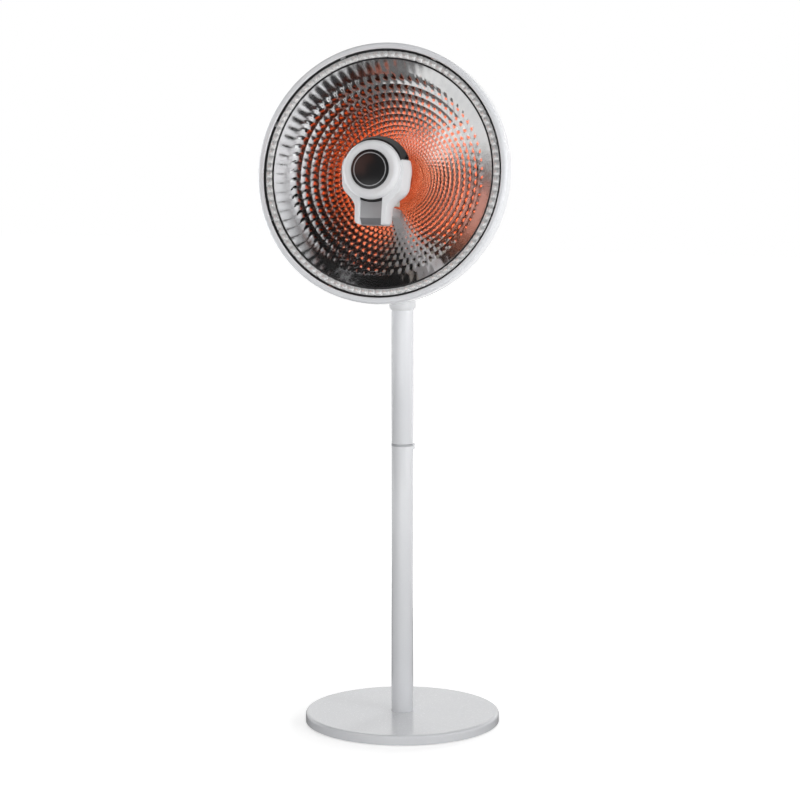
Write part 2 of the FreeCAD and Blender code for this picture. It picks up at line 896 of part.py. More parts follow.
selector_shaft_start = housing_back - selector_depth / 2
selector_knob_seat = cover_back + moving_gap
selector_knob_top = selector_knob_seat + selector_knob_height
selector_cavity = selector_bush_reach + 2 * moving_gap


def switch_nut():
    nut = hexagon(selector_nut_radius, selector_point(cover_back), y_axis * selector_nut_height)
    return nut.cut(rod(selector_bush_radius + flat_gap, selector_point(housing_back),
                       selector_point(selector_knob_top)))


def selector_shaft():
    end = selector_knob_top - selector_grip_depth
    return rod(selector_shaft_radius, selector_point(selector_shaft_start + moving_gap),
               selector_point(end))


def selector_knob():
    seat = selector_point(selector_knob_seat)
    shoulder = selector_point(selector_knob_top - selector_grip_depth)
    top = selector_point(selector_knob_top)
    knob = rod(selector_knob_radius, seat, shoulder)
    half = selector_grip_width / 2
    bar = block((seat.x - half, seat.x + half), (shoulder.y, top.y),
                (seat.z - selector_knob_radius, seat.z + selector_knob_radius))
    knob = knob.fuse(bar.common(rod(selector_knob_radius, shoulder, top))).removeSplitter()
    cavity = rod(selector_nut_radius + 2 * moving_gap, seat, seat + y_axis * selector_cavity)
    return knob.cut(cavity).cut(selector_shaft())


def rocker_frame():
    centre = rocker_point(0)
    wide = (centre.x - frame_half_width, centre.x + frame_half_width)
    tall = (centre.z - frame_half_height, centre.z + frame_half_height)
    inner_wide = frame_half_width - frame_lip / 2 - flat_gap
    inner_tall = frame_half_height - frame_lip / 2 - flat_gap
    flange = block(wide, (cover_back, cover_back + frame_flange), tall)
    body = block((centre.x - inner_wide, centre.x + inner_wide), (cover_back - frame_depth, cover_back),
                 (centre.z - inner_tall, centre.z + inner_tall))
    gap_wide = rocker_half_width + moving_gap
    gap_tall = rocker_radius + moving_gap
    well = block((centre.x - gap_wide, centre.x + gap_wide),
                 (cover_back - gap_tall, cover_back + frame_flange),
                 (centre.z - gap_tall, centre.z + gap_tall))
    pin = rod(rocker_pin_radius, rocker_point(cover_back) - x_axis * inner_wide,
              rocker_point(cover_back) + x_axis * inner_wide)
    return flange.fuse(body).removeSplitter().cut(well).fuse(pin).removeSplitter()


def rocker_button():
    pivot = rocker_point(cover_back)
    side = x_axis * rocker_half_width
    drum = rod(rocker_radius, pivot - side, pivot + side)
    wedge = math.tan(math.radians(rocker_set)) * rocker_radius
    low = rocker_radius / 2
    corners = [point(pivot.x - rocker_half_width, pivot.y - low, pivot.z - rocker_radius),
               point(pivot.x - rocker_half_width, pivot.y - low, pivot.z + rocker_radius),
               point(pivot.x - rocker_half_width, pivot.y + frame_flange + 2 * wedge,
                     pivot.z + rocker_radius),
               point(pivot.x - rocker_half_width, pivot.y + frame_flange + wedge, pivot.z),
               point(pivot.x - rocker_half_width, pivot.y + frame_flange + 2 * wedge,
                     pivot.z - rocker_radius)]
    button = drum.common(prism(corners, x_axis * 2 * rocker_half_width))
    button.rotate(pivot, x_axis, -rocker_set)
    return button.cut(rod(rocker_pin_radius + running_clearance, pivot - side, pivot + side))


def terminal_block():
    half = terminal_width / 2
    body = block((-half, half), (hub_back, hub_back + terminal_depth),
                 (terminal_rise, terminal_rise + terminal_height))
    pitch = terminal_width / terminal_poles
    for index in range(terminal_poles):
        place = point(-half + pitch * (index + 0.5), hub_back + terminal_depth,
                      terminal_rise + terminal_height / 2)
        body = body.cut(rod(terminal_hole_radius, place - y_axis * terminal_depth / 2, place))
    return body


def thermal_cutout():
    centre = point(-cutout_spread, hub_back, 0)
    disc = rod(cutout_radius, centre, centre + y_axis * cutout_depth)
    blade = cutout_radius / 2
    tabs = block((centre.x - blade, centre.x + blade),
                 (hub_back + cutout_depth, hub_back + 2 * cutout_depth),
                 (-cutout_tab_sheet / 2, cutout_tab_sheet / 2))
    return disc.fuse(tabs)


def tip_switch():
    return block((tip_switch_spread, tip_switch_spread + tip_switch_width),
                 (hub_back, hub_back + tip_switch_depth),
                 (-tip_switch_height / 2, tip_switch_height / 2))


def cable_gland():
    seat = gland_point(cover_back)
    neck = gland_point(cover_back + gland_reach / 2)
    end = gland_point(cover_back + gland_reach)
    collar = hexagon(gland_radius, seat, neck - seat)
    cap = Part.makeCone(gland_radius * math.cos(math.pi / hex_sides), gland_thread_radius, gland_reach / 2,
                        neck, y_axis)
    thread = rod(gland_thread_radius, gland_point(housing_back - gland_thread_length), seat)
    gland = collar.fuse(cap).fuse(thread).removeSplitter()
    return gland.cut(rod(gland_bore, gland_point(housing_back - gland_thread_length), end))


def gland_nut():
    nut = hexagon(gland_radius, gland_point(housing_back), y_axis * -nut_height)
    return nut.cut(rod(gland_thread_radius + flat_gap, gland_point(housing_back - nut_height),
                       gland_point(housing_back)))


# Hood, arm and lamp

def keyhole(radius, half_width, drop, corner, blend, depth):
    centre_x = half_width + blend
    centre_z = -math.sqrt((radius + blend) ** 2 - centre_x ** 2)
    right_centre = point(centre_x, depth, centre_z)
    toward_middle = (point(0, depth, 0) - right_centre).normalize()
    on_ring = right_centre + toward_middle * blend
    on_neck = point(half_width, depth, centre_z)
    between = right_centre + (toward_middle - x_axis).normalize() * blend
    foot = point(half_width - corner, depth, -drop + corner)

    def mirror(p):
        return point(-p.x, p.y, p.z)

    def corner_arc(sign):
        return quarter(point(sign * foot.x, depth, foot.z), corner, x_axis * sign, z_axis * -1)

    return [arc(on_ring, point(0, depth, radius), mirror(on_ring)),
            arc(mirror(on_ring), mirror(between), mirror(on_neck)),
            line(mirror(on_neck), point(-half_width, depth, foot.z)),
            corner_arc(-1),
            line(point(-foot.x, depth, -drop), point(foot.x, depth, -drop)),
            corner_arc(1),
            line(point(half_width, depth, foot.z), on_neck),
            arc(on_neck, between, on_ring)]


neck_floor = hood_plate - neck_recess


def hood_shell():
    back = Part.Wire(keyhole(hood_back_radius, neck_back_half_width, neck_drop, neck_corner, neck_blend,
                             -hood_back))
    front = Part.Wire(keyhole(hood_front_radius, neck_half_width, neck_drop, neck_corner, neck_blend,
                              -hood_plate))
    shell = Part.makeLoft([back, front], True, True)
    depth = hood_plate - hood_wall - hood_back
    taper = (hood_back_radius - hood_front_radius) * depth / (hood_plate - hood_back)
    inner = hood_back_radius - hood_wall
    room = Part.makeCone(inner, inner - taper, depth, point(0, -hood_back, 0), y_axis * -1)
    half = neck_half_width - hood_wall
    slope_top = -neck_drop + hood_wall + neck_slope
    plate_back = -neck_floor + hood_wall
    neck_room = prism([point(-half, -hood_back, 0), point(-half, plate_back, 0),
                       point(-half, plate_back, slope_top),
                       point(-half, plate_back + neck_slope, -neck_drop + hood_wall),
                       point(-half, -hood_back, -neck_drop + hood_wall)], x_axis * 2 * half)
    shell = shell.cut(room).cut(neck_room)
    reach = 2 * hood_back_radius
    spread = reach * math.sin(math.radians(vent_half_angle))
    height = reach * math.cos(math.radians(vent_half_angle))
    vent = prism([point(0, -hood_back, 0), point(spread, -hood_back, height),
                  point(spread, -hood_back, reach),
                  point(-spread, -hood_back, reach), point(-spread, -hood_back, height)], y_axis * -depth)
    face_half = neck_half_width - rail_width
    recess = prism([point(-face_half, -hood_plate, 0), point(-face_half, -neck_floor, 0),
                    point(-face_half, -neck_floor, -neck_drop + neck_slope),
                    point(-face_half, -neck_floor + neck_slope, -neck_drop),
                    point(-face_half, -hood_plate, -neck_drop)], x_axis * 2 * face_half)
    recess = recess.cut(rod(ring_radius - ring_wall, origin, point(0, -hood_plate, 0)))
    plug_half = arm_half_width - arm_wall - seat_clearance
    plug_rise = arm_height / 2 - arm_wall - seat_clearance
    plug = block((-plug_half, plug_half),
                 (plate_back - hood_wall / 2, plate_back + hood_wall + plug_length),
                 (-arm_drop - plug_rise, -arm_drop + plug_rise))
    shell = shell.cut(vent).cut(recess).fuse(plug).removeSplitter()
    return shell.cut(hood_screw_hole())


def hood_screw_place(height):
    return point(0, -arm_front + plug_length / 2, height)


arm_under = -arm_drop - arm_height / 2


def hood_screw_hole():
    return rod(screw_radius, hood_screw_place(arm_under), hood_screw_place(-arm_drop))


def hood_screw():
    head = rod(screw_head_radius, hood_screw_place(arm_under - screw_head_height),
               hood_screw_place(arm_under))
    return head.fuse(hood_screw_hole())


def hood_ring():
    inside = ring_radius - ring_wall
    face = hood_front - badge_recess
    crown = point(ring_radius - ring_round, -hood_front)
    diagonal = ring_round * math.sqrt(0.5)
    shoulder = point(ring_radius, -hood_front + ring_round)
    bend = point(ring_radius - ring_round + diagonal, -hood_front + ring_round - diagonal)
    edges = chain([point(inside, -hood_plate), point(ring_radius, -hood_plate), shoulder])
    edges.append(arc(shoulder, bend, crown))
    edges += chain([crown, point(badge_radius + seat_clearance, -face), point(0, -face),
                    point(0, -face + ring_wall),
                    point(inside, -face + ring_wall), point(inside, -hood_plate)])
    return spun(edges, y_axis)


def badge():
    face = -hood_front + badge_recess
    return rod(badge_radius, point(0, face, 0), point(0, face - badge_thickness, 0))


def lamp_cup():
    mouth = -hood_back + flat_gap
    front = -hood_plate + hood_wall
    inside = cup_radius - cup_sheet
    cup = pipe(cup_radius, inside, point(0, front, 0), point(0, mouth, 0))
    cup = cup.fuse(rod(cup_radius, point(0, front, 0), point(0, front + cup_sheet, 0)))
    cup = cup.fuse(pipe(cup_flange_radius, inside, point(0, mouth, 0), point(0, mouth + cup_sheet, 0)))
    return cup.removeSplitter().cut(arm_space(moving_gap, (front, mouth + cup_sheet)))


def hood_arm():
    foot_front = hub_plate_front - arm_foot
    rise = arm_height / 2
    foot = block((-arm_foot_half_width, arm_foot_half_width), (foot_front, hub_plate_front),
                 (-arm_drop - rise, -arm_drop + rise))
    arm = arm_space(0, (-arm_front, hub_plate_front)).fuse(foot).removeSplitter()
    arm = arm.cut(arm_space(-arm_wall, (-arm_front, foot_front))).cut(hood_screw_hole())
    arm = arm.cut(rod(arm_hole_radius, point(0, 0, -arm_drop), point(0, hub_plate_front, -arm_drop)))
    for place in arm_screw_points(hub_plate_front):
        arm = arm.cut(rod(screw_radius, place - y_axis * arm_foot, place))
    return arm


def arm_screws():
    grip = arm_foot + hub_back - hub_plate_front
    return Part.makeCompound([screw_along_y(place, grip, -1) for place in arm_screw_points(hub_back)])


holder_foot = -arm_drop + arm_height / 2
holder_top = holder_foot + holder_height
lamp_foot = holder_top - leg_depth


def lamp_path():
    corner = lamp_tube_radius
    edges = keyhole(lamp_ring_radius, lamp_leg_spread, -lamp_foot + corner, corner, lamp_blend,
                    lamp_depth)
    left_leg, right_leg = edges[2], edges[6]
    return Part.Wire([left_leg, edges[1], edges[0], edges[7], right_leg])


def lamp_rod(radius):
    start = point(-lamp_leg_spread, lamp_depth, lamp_foot)
    circle = Part.Wire(Part.makeCircle(radius, start, z_axis))
    return lamp_path().makePipeShell([circle], True, False)


def quartz_tube():
    return lamp_rod(lamp_tube_radius).cut(lamp_rod(lamp_tube_radius - lamp_tube_wall))


def carbon_element():
    return lamp_rod(element_radius)


def leg_points(height):
    return [point(side * lamp_leg_spread, lamp_depth, height) for side in (-1, 1)]


def lamp_caps():
    caps = []
    for place in leg_points(holder_top):
        caps.append(pipe(lamp_cap_radius, lamp_tube_radius + seat_clearance, place,
                         place + z_axis * lamp_cap_height))
    return Part.makeCompound(caps)


def lamp_holder():
    front = lamp_depth - holder_depth / 2
    body = block((-holder_half_width, holder_half_width), (front, front + holder_depth),
                 (holder_foot, holder_top))
    for place in leg_points(lamp_foot):
        body = body.cut(rod(lamp_tube_radius + seat_clearance, place, place + z_axis * leg_depth))
    return body


column_pieces = [base_cover, base_weight, foot_ring, tube_flange, flange_screws, lower_tube,
                 tube_bush, clamp_boss, clamp_screw, clamp_knob, slide_tube, tube_glide,
                 sleeve_spacer, upper_sleeve, neck_collar, collar_screws, tilt_bolt,
                 friction_washers, tilt_knob]
head_pieces = [swivel_carrier, post_clip, thrust_ring, motor_shaft, swivel_motor, motor_bracket,
               bracket_screws, rim_bezel, reflector, back_shell, hub_plate, rim_clips, pole_screw,
               pole_nut, rear_housing, housing_screws, rear_cover, cover_screws, selector_switch,
               switch_nut, selector_shaft, selector_knob, rocker_frame, rocker_button,
               terminal_block, thermal_cutout, tip_switch, cable_gland, gland_nut, hood_shell,
               hood_screw, hood_ring, badge, lamp_cup, hood_arm, arm_screws, quartz_tube,
               carbon_element, lamp_caps, lamp_holder]

os.makedirs("parts", exist_ok=True)
for make in column_pieces:
    make().exportStep(f"parts/{make.__name__}.step")
for make in head_pieces:
    in_head(make()).exportStep(f"parts/{make.__name__}.step")
print("rim centre", [round(v, 2) for v in rim_centre], "pivot height", round(pivot_height, 2))
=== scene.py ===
import bpy
import json
import math
from mathutils import Matrix, Vector

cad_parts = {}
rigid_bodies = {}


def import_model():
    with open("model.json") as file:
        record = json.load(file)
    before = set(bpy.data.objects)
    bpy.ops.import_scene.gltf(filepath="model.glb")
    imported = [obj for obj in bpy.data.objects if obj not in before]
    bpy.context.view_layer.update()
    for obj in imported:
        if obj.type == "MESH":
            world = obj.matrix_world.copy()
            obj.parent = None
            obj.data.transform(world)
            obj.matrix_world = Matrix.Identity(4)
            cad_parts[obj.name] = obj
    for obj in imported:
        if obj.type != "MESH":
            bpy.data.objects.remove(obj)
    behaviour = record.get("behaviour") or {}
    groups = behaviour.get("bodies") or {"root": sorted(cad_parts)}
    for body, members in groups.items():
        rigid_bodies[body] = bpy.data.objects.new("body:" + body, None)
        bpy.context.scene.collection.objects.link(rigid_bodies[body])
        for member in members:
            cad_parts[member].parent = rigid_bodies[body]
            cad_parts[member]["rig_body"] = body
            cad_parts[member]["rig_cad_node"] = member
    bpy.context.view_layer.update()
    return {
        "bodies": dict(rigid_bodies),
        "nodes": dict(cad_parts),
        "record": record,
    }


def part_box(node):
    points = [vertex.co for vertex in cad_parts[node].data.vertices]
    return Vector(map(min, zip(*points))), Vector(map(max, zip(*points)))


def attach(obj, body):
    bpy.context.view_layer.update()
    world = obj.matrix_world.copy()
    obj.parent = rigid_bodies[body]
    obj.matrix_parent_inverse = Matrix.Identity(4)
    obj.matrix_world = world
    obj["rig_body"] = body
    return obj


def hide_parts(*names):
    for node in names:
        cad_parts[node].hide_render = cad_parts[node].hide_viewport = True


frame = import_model()
nodes = frame["nodes"]
print("frame loaded with", len(nodes), "nodes")

mm = 0.001  # in metres, as everything in the scene
mergeGap = 1e-6

# the dish's own frame, in mm: X right, Y back from the rim's front, Z up
dishPlace = {"rimCentre": (0.0, -100.23, 811.49), "tilt": 10.0}
dishMatrix = (Matrix.Translation(Vector(dishPlace["rimCentre"]) * mm)
              @ Matrix.Rotation(math.radians(-dishPlace["tilt"]), 4, "X"))
toDish = dishMatrix.inverted()


# from mm in the dish's frame to the scene, and back
def fromDish(spot):
    return dishMatrix @ (Vector(spot) * mm)


def dishSpot(point):
    return toDish @ point / mm


def dishFacing(normal):
    return toDish.to_3x3() @ normal


def stepBack(distance):
    return dishMatrix.to_3x3() @ Vector((0.0, distance * mm, 0.0))


def clearSelection():
    if bpy.context.object and bpy.context.object.mode != "OBJECT":
        bpy.ops.object.mode_set(mode="OBJECT")
    bpy.ops.object.select_all(action="DESELECT")


def activate(piece):
    clearSelection()
    piece.select_set(True)
    bpy.context.view_layer.objects.active = piece


def namePiece(name):
    piece = bpy.context.object
    piece.name = name
    piece.data.name = name
    return piece


def applyModifiers(piece):
    activate(piece)
    for modifier in list(piece.modifiers):
        bpy.ops.object.modifier_apply(modifier=modifier.name)


def mergeDoubles():
    # the active piece stays in edit mode
    bpy.ops.object.mode_set(mode="EDIT")
    bpy.ops.mesh.select_all(action="SELECT")
    bpy.ops.mesh.remove_doubles(threshold=mergeGap)


def joinPieces(pieces, name):
    clearSelection()
    for piece in pieces:
        piece.select_set(True)
    bpy.context.view_layer.objects.active = pieces[0]
    bpy.ops.object.join()
    return namePiece(name)


# finishes
def shaderStart(name):
    material = bpy.data.materials.new(name)
    material.use_nodes = True
    tree = material.node_tree
    principled = tree.nodes["Principled BSDF"]
    coords = tree.nodes.new("ShaderNodeTexCoord")
    return material, tree, principled, coords.outputs["Object"]


def noise(tree, vector, scale, detail=4.0, stretch=None):
    if stretch:
        mapping = tree.nodes.new("ShaderNodeMapping")
        mapping.inputs["Scale"].default_value = stretch
        tree.links.new(vector, mapping.inputs["Vector"])
        vector = mapping.outputs["Vector"]
    texture = tree.nodes.new("ShaderNodeTexNoise")
    texture.inputs["Scale"].default_value = scale
    texture.inputs["Detail"].default_value = detail
    tree.links.new(vector, texture.inputs["Vector"])
    return texture.outputs["Fac"]


def mapRange(tree, value, low, high, start=0.3, end=0.7):
    node = tree.nodes.new("ShaderNodeMapRange")
    node.inputs["From Min"].default_value = start
    node.inputs["From Max"].default_value = end
    node.inputs["To Min"].default_value = low
    node.inputs["To Max"].default_value = high
    tree.links.new(value, node.inputs["Value"])
    return node.outputs["Result"]


mixSockets = {"share": 0, "first": 6, "second": 7, "mixed": 2}  # of a colour mix


def mixTones(tree, share, first, second):
    mix = tree.nodes.new("ShaderNodeMix")
    mix.data_type = "RGBA"
    tree.links.new(share, mix.inputs[mixSockets["share"]])
    for socket, tone in (("first", first), ("second", second)):
        if isinstance(tone, bpy.types.NodeSocket):
            tree.links.new(tone, mix.inputs[mixSockets[socket]])
        else:
            mix.inputs[mixSockets[socket]].default_value = (*tone, 1)
    return mix.outputs[mixSockets["mixed"]]


def mottled(tree, pattern, tones):
    return mixTones(tree, mapRange(tree, pattern, 0.0, 1.0), *tones)


def mathNode(tree, operation, first, second):
    node = tree.nodes.new("ShaderNodeMath")
    node.operation = operation
    tree.links.new(first, node.inputs[0])
    tree.links.new(second, node.inputs[1])
    return node.outputs["Value"]


def addBump(tree, principled, height, strength, distance):
    bump = tree.nodes.new("ShaderNodeBump")
    bump.inputs["Strength"].default_value = strength
    bump.inputs["Distance"].default_value = distance
    tree.links.new(height, bump.inputs["Height"])
    tree.links.new(bump.outputs["Normal"], principled.inputs["Normal"])


def grainedFinish(name, look):
    material, tree, principled, coords = shaderStart(name)
    broad = noise(tree, coords, look["patch"])
    fine = noise(tree, coords, look["grain"], detail=2.0, stretch=look.get("stretch"))
    tree.links.new(mottled(tree, broad, look["tones"]), principled.inputs["Base Color"])
    rough = mapRange(tree, fine, *look["roughness"])
    tree.links.new(rough, principled.inputs["Roughness"])
    addBump(tree, principled, fine, look["bump"], look["depth"])
    principled.inputs["Metallic"].default_value = look.get("metallic", 0.0)
    principled.inputs["Coat Weight"].default_value = look.get("coat", 0.0)
    principled.inputs["Coat Roughness"].default_value = look.get("coatRoughness", 0.05)
    return material


finishes = {
    "white_enamel": grainedFinish("whiteEnamel", {
        "tones": ((0.74, 0.75, 0.775), (0.76, 0.77, 0.79)), "patch": 14.0, "grain": 700.0,
        "roughness": (0.2, 0.28), "bump": 0.02, "depth": 0.0003, "coat": 0.5}),
    "white_plastic": grainedFinish("whitePlastic", {
        "tones": ((0.73, 0.735, 0.75), (0.75, 0.755, 0.77)), "patch": 18.0, "grain": 1800.0,
        "roughness": (0.3, 0.4), "bump": 0.05, "depth": 0.0002}),
    "grey_plastic": grainedFinish("greyPlastic", {
        "tones": ((0.42, 0.43, 0.45), (0.46, 0.47, 0.49)), "patch": 30.0, "grain": 1500.0,
        "roughness": (0.4, 0.5), "bump": 0.08, "depth": 0.0002}),
    "black_plastic": grainedFinish("blackPlastic", {
        "tones": ((0.014, 0.014, 0.015), (0.02, 0.02, 0.022)), "patch": 30.0, "grain": 2200.0,
        "roughness": (0.38, 0.5), "bump": 0.15, "depth": 0.0003}),
    "zinc_steel": grainedFinish("zincSteel", {
        "tones": ((0.56, 0.57, 0.59), (0.66, 0.67, 0.68)), "patch": 60.0, "grain": 900.0,
        "roughness": (0.25, 0.4), "bump": 0.05, "depth": 0.0002, "metallic": 1.0}),
    "polished_steel": grainedFinish("polishedSteel", {
        "tones": ((0.7, 0.71, 0.72), (0.76, 0.76, 0.77)), "patch": 20.0, "grain": 300.0,
        "stretch": (8.0, 8.0, 0.15), "roughness": (0.12, 0.2), "bump": 0.03, "depth": 0.0002,
        "metallic": 1.0}),
    "ballast_iron": grainedFinish("ballastIron", {
        "tones": ((0.06, 0.06, 0.065), (0.1, 0.1, 0.1)), "patch": 40.0, "grain": 500.0,
        "roughness": (0.6, 0.8), "bump": 0.4, "depth": 0.0006}),
    "foot_rubber": grainedFinish("footRubber", {
        "tones": ((0.02, 0.02, 0.02), (0.03, 0.03, 0.03)), "patch": 40.0, "grain": 1200.0,
        "roughness": (0.7, 0.85), "bump": 0.2, "depth": 0.0003}),
    "black_enamel": grainedFinish("blackEnamel", {
        "tones": ((0.012, 0.012, 0.013), (0.018, 0.018, 0.018)), "patch": 25.0, "grain": 900.0,
        "roughness": (0.3, 0.42), "bump": 0.06, "depth": 0.0003}),
    "lamp_ceramic": grainedFinish("lampCeramic", {
        "tones": ((0.66, 0.62, 0.55), (0.74, 0.71, 0.65)), "patch": 80.0, "grain": 1600.0,
        "roughness": (0.55, 0.7), "bump": 0.2, "depth": 0.0003}),
}
satinBeads = grainedFinish("satinBeads", {
    "tones": ((0.86, 0.87, 0.87), (0.92, 0.92, 0.92)), "patch": 40.0, "grain": 900.0,
    "roughness": (0.2, 0.3), "bump": 0.03, "depth": 0.0002, "metallic": 0.5})
# painted shade: the reflector's groove and thin line are coloured near-black for the shade in
# them
paintedShadeGroove = grainedFinish("paintedShadeGroove", {
    "tones": ((0.05, 0.05, 0.052), (0.08, 0.08, 0.082)), "patch": 40.0, "grain": 900.0,
    "roughness": (0.45, 0.6), "bump": 0.03, "depth": 0.0002, "metallic": 0.4})


def distanceFrom(tree, coords, centre):
    place = tree.nodes.new("ShaderNodeMapping")
    place.inputs["Location"].default_value = -centre
    tree.links.new(coords, place.inputs["Vector"])
    length = tree.nodes.new("ShaderNodeVectorMath")
    length.operation = "LENGTH"
    tree.links.new(place.outputs["Vector"], length.inputs[0])
    return length.outputs["Value"]


def badgeFinish(look):
    material, tree, principled, coords = shaderStart("badgeBlack")
    ring = tree.nodes.new("ShaderNodeMath")
    ring.operation = "COMPARE"
    ring.inputs[1].default_value = look["ringRadius"]
    ring.inputs[2].default_value = look["ringWidth"] / 2
    tree.links.new(distanceFrom(tree, coords, look["centre"]), ring.inputs[0])
    tone = mixTones(tree, ring.outputs["Value"], look["black"], look["grey"])
    tree.links.new(tone, principled.inputs["Base Color"])
    rough = mapRange(tree, noise(tree, coords, look["grain"]), *look["roughness"])
    tree.links.new(rough, principled.inputs["Roughness"])
    return material


def quartzFinish(look):
    material, tree, principled, coords = shaderStart("quartzGlow")
    principled.inputs["Transmission Weight"].default_value = look["clear"]
    principled.inputs["IOR"].default_value = look["ior"]
    cloud = noise(tree, coords, look["cloud"])
    tree.links.new(mottled(tree, cloud, look["tones"]), principled.inputs["Base Color"])
    tree.links.new(mapRange(tree, cloud, *look["roughness"]), principled.inputs["Roughness"])
    principled.inputs["Emission Color"].default_value = (*look["glow"], 1)
    principled.inputs["Emission Strength"].default_value = look["strength"]
    return material


def carbonFinish(look):
    material, tree, principled, coords = shaderStart("glowingCarbon")
    weave = noise(tree, coords, look["weave"])
    tree.links.new(mottled(tree, weave, look["tones"]), principled.inputs["Emission Color"])
    principled.inputs["Base Color"].default_value = (*look["cold"], 1)
    tree.links.new(mapRange(tree, weave, *look["roughness"]), principled.inputs["Roughness"])
    principled.inputs["Emission Strength"].default_value = look["strength"]
    return material


def mirrorFinish(look):
    # polished aluminium, browned and dulled by the heat round the hub
    material, tree, principled, coords = shaderStart("mirrorAluminium")
    fromHub = distanceFrom(tree, coords, look["hub"])
    near = mapRange(tree, fromHub, 1.0, 0.0, *look["browned"])
    clean = mottled(tree, noise(tree, coords, look["patch"]), look["tones"])
    tone = mixTones(tree, near, clean, look["heatTone"])
    tree.links.new(tone, principled.inputs["Base Color"])
    fine = noise(tree, coords, look["grain"], detail=2.0)
    polish = mapRange(tree, fine, *look["roughness"])
    dulled = mapRange(tree, fromHub, look["dulling"], 0.0, *look["dulled"])
    rough = mathNode(tree, "ADD", polish, dulled)
    tree.links.new(rough, principled.inputs["Roughness"])
    principled.inputs["Metallic"].default_value = 1.0
    return material


finishes["mirror_aluminium"] = mirrorFinish({
    "hub": fromDish((0.0, 90.0, 0.0)), "patch": 30.0, "grain": 400.0,
    "tones": ((0.84, 0.845, 0.85), (0.89, 0.895, 0.9)), "roughness": (0.07, 0.13),
    "browned": (0.035, 0.06), "heatTone": (0.5, 0.42, 0.38),
    "dulled": (0.07, 0.15), "dulling": 0.09})
badgeLow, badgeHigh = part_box("badge")
finishes["badge_black"] = badgeFinish({
    "centre": (badgeLow + badgeHigh) / 2, "ringRadius": 23.0 * mm, "ringWidth": 1.4 * mm,
    "black": (0.016, 0.016, 0.017), "grey": (0.3, 0.3, 0.31),
    "grain": 600.0, "roughness": (0.16, 0.26)})
finishes["quartz"] = quartzFinish({
    "tones": ((1.0, 0.8, 0.62), (1.0, 0.86, 0.72)), "cloud": 120.0, "roughness": (0.04, 0.1),
    "clear": 0.9, "ior": 1.46, "glow": (0.62, 0.075, 0.006), "strength": 0.45})
finishes["glowing_carbon"] = carbonFinish({
    "tones": ((1.0, 0.12, 0.01), (1.0, 0.17, 0.02)), "strength": 0.55, "weave": 900.0,
    "cold": (0.02, 0.015, 0.012), "roughness": (0.6, 0.8)})

for part in frame["record"]["subparts"]:
    mesh = nodes[part["node"]].data
    mesh.materials.clear()
    mesh.materials.append(finishes[part["material_slot"]])
print("finishes made:", len(finishes))


# faceted mirror
mirrorBowl = {
    "cells": 72, "split": 4, "facetRows": 16, "pillow": (0.03, 0.085),
    "holeRadius": 2.1, "seatRadius": 15.0, "hubRings": (20.0, 26.0), "hubRadius": 34.0,
    "facetRadius": 142.0, "edgeRadius": 160.0, "seatDepth": 90.0, "edgeDepth": 5.0,
    "bandRows": 4, "bandFlutes": 0.3, "lineLip": 0.5, "lineShift": 0.2, "lineDepth": 1.4,
    "beads": 100, "beadColumns": 6, "beadRows": 6, "beadRadii": (163.0, 171.0),
    "beadRise": 2.0, "beadFloor": 0.1,
    "grooveRadius": 173.0, "grooveDepth": 8.0, "flangeRadius": 179.0,
    "sheet": 0.8, "smoothAngle": 9.0,
    # the groove and the thin line get the painted shade
    "finishes": {"mirrorBeads": satinBeads, "mirrorGroove": paintedShadeGroove, "mirrorLine": paintedShadeGroove}}


def bowlDepth(radius):
    look = mirrorBowl
    if radius <= look["seatRadius"]:
        return look["seatDepth"]
    seat, edge = look["seatRadius"] ** 2, look["edgeRadius"] ** 2
    share = (radius ** 2 - seat) / (edge - seat)
    return look["seatDepth"] + (look["edgeDepth"] - look["seatDepth"]) * share


def bump(value):
    return 1.0 - (2.0 * (value % 1.0) - 1.0) ** 2


def onBowl(radii):
    return [(radius, bowlDepth(radius)) for radius in radii]


def evenSteps(low, high, count):
    return [low + (high - low) * i / count for i in range(count + 1)]


def noLift(column, row):
    return 0.0


def polarGrid(name, columns, rings, lift):
    # a flat grid whose columns become angles and whose rows become rings
    rows = len(rings) - 1
    clearSelection()
    bpy.ops.mesh.primitive_grid_add(x_subdivisions=columns, y_subdivisions=rows, size=2)
    piece = namePiece(name)
    for vertex in piece.data.vertices:
        column = round((vertex.co.x + 1) / 2 * columns)
        row = round((vertex.co.y + 1) / 2 * rows)
        radius, depth = rings[row]
        depth = depth - lift(column, row)
        angle = 2 * math.pi * column / columns
        vertex.co = Vector((radius * math.cos(angle), depth, radius * math.sin(angle))) * mm
    activate(piece)
    mergeDoubles()
    bpy.ops.object.mode_set(mode="OBJECT")
    return piece


